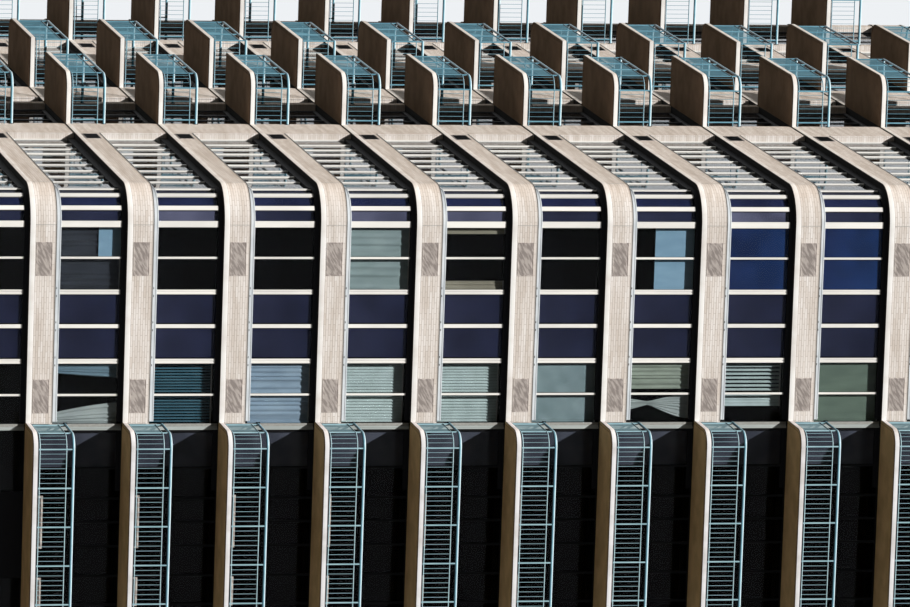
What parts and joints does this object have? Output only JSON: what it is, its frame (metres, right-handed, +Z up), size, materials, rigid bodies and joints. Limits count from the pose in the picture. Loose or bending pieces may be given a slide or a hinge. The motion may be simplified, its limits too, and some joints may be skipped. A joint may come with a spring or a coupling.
{
  "type": "apartment block",
  "caption": "Apartment block with banded brick and strip windows, rounded corners and stacks of railed balconies on its front and one long side.",
  "frame": {"origin": "on the ground, under the middle of the floor slabs' outline, on the underside of the ground slab", "axes": "+Z up, front wall with the entrance towards -Y, +X to the right seen from the front, the long wall with the balconies towards -X"},
  "size_m": [20.976, 37.118, 37.57],
  "materials": {
    "painted_concrete": "painted concrete, near white",
    "brick": "pale buff facing brick",
    "window_glass": "dark tinted window glass",
    "railing_paint": "blue-green painted aluminium",
    "door_frame": "pale painted aluminium"
  },
  "bodies": {
    "root": {"ground_slab": "painted_concrete", "roof_slab": "painted_concrete", "front_balcony_slabs": "painted_concrete", "left_balcony_slabs": "painted_concrete", "floor_slab_01": "painted_concrete", "floor_slab_02": "painted_concrete", "floor_slab_03": "painted_concrete", "floor_slab_04": "painted_concrete", "floor_slab_05": "painted_concrete", "floor_slab_06": "painted_concrete", "floor_slab_07": "painted_concrete", "floor_slab_08": "painted_concrete", "floor_slab_09": "painted_concrete", "floor_slab_10": "painted_concrete", "floor_slab_11": "painted_concrete", "floor_slab_12": "painted_concrete", "front_spandrels": "brick", "left_spandrels": "brick", "right_spandrels": "brick", "back_spandrels": "brick", "corner_spandrels": "brick", "front_piers": "brick", "left_piers": "brick", "right_piers": "brick", "roof_parapet_walls": "brick", "roof_parapet_corners": "brick", "front_windows": "window_glass", "left_windows": "window_glass", "right_windows": "window_glass", "back_windows": "window_glass", "corner_windows": "window_glass", "front_balcony_doors": "window_glass", "left_balcony_doors": "window_glass", "front_handrails": "railing_paint", "left_handrails": "railing_paint", "front_railing_posts": "railing_paint", "left_railing_posts": "railing_paint", "entrance_frame": "door_frame"}
  },
  "joints": []
}
